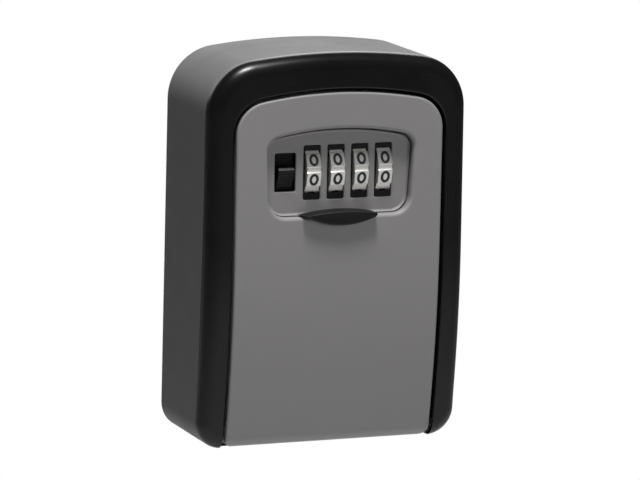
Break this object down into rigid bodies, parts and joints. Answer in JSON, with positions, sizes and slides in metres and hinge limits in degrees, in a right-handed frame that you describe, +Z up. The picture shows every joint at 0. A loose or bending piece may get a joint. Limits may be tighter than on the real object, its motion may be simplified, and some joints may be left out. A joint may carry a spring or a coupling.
{
  "type": "key lock box",
  "caption": "Wall-mounted key lock box: cast rear housing, black bezel, drop-down hinged door with digit dials, release slider and latch.",
  "frame": {"origin": "centre of the wall-screw pattern on the flat back face", "axes": "+X to the right seen from the front, +Y into the wall, +Z up"},
  "size_m": [0.084, 0.042, 0.121],
  "materials": {
    "housing_paint": "fine matte powder coat",
    "bezel_plastic": "satin black moulding",
    "door_plastic": "satin grey moulding",
    "frame_zinc": "as-cast zinc alloy",
    "black_plastic": "satin black moulding",
    "case_plastic": "matte black moulding",
    "plate_paint": "black painted sheet",
    "steel_plate": "zinc-plated sheet",
    "screw_steel": "zinc-plated",
    "pin_steel": "ground",
    "spring_steel": "drawn wire",
    "spring_bronze": "rolled strip",
    "washer_plastic": "natural nylon",
    "dial_metal": "satin die-cast metal, black filled digits",
    "cam_brass": "turned"
  },
  "bodies": {
    "box": {"back_housing": "housing_paint", "front_bezel": "bezel_plastic", "bezel_screws": "screw_steel", "keeper_plate": "steel_plate", "keeper_screws": "screw_steel", "hinge_pin": "pin_steel"},
    "door": {"door_cover": "door_plastic", "dial_panel": "door_plastic", "door_frame": "frame_zinc", "thumb_pull": "black_plastic", "lock_frame": "case_plastic", "dial_axle": "pin_steel", "axle_clips": "spring_steel", "axle_spacers": "washer_plastic", "detent_spring": "spring_bronze", "back_plate": "plate_paint", "back_plate_screws": "screw_steel", "latch_spring": "spring_steel"},
    "latch": {"release_button": "black_plastic", "latch_plate": "steel_plate", "gate_fingers": "steel_plate", "button_screw": "screw_steel"},
    "lever": {"code_lever": "black_plastic"},
    "dial_1": {"dial_wheel_1": "dial_metal", "code_cam_1": "cam_brass"},
    "dial_2": {"dial_wheel_2": "dial_metal", "code_cam_2": "cam_brass"},
    "dial_3": {"dial_wheel_3": "dial_metal", "code_cam_3": "cam_brass"},
    "dial_4": {"dial_wheel_4": "dial_metal", "code_cam_4": "cam_brass"}
  },
  "joints": [
    {"name": "door_hinge", "type": "hinge", "parent": "box", "child": "door", "pos_m": [0, -0.03025, -0.056], "axis": [1, 0, 0], "range_deg": [0, 100]},
    {"name": "release_slide", "type": "slide", "parent": "door", "child": "latch", "axis": [0, 0, 1], "range_m": [0, 0.0042], "stiffness_N_per_m": 120, "springref_m": 0.008, "deforming": ["latch_spring"]},
    {"name": "code_lever_turn", "type": "hinge", "parent": "door", "child": "lever", "pos_m": [0.0235, -0.017, 0.024], "axis": [0, 1, 0], "range_deg": [0, 60]},
    {"name": "dial_1_turn", "type": "hinge", "parent": "door", "child": "dial_1", "pos_m": [-0.0079, -0.0293, 0.024], "axis": [1, 0, 0], "continuous": true},
    {"name": "dial_2_turn", "type": "hinge", "parent": "door", "child": "dial_2", "pos_m": [-0.0002, -0.0293, 0.024], "axis": [1, 0, 0], "continuous": true},
    {"name": "dial_3_turn", "type": "hinge", "parent": "door", "child": "dial_3", "pos_m": [0.0075, -0.0293, 0.024], "axis": [1, 0, 0], "continuous": true},
    {"name": "dial_4_turn", "type": "hinge", "parent": "door", "child": "dial_4", "pos_m": [0.0152, -0.0293, 0.024], "axis": [1, 0, 0], "continuous": true}
  ]
}
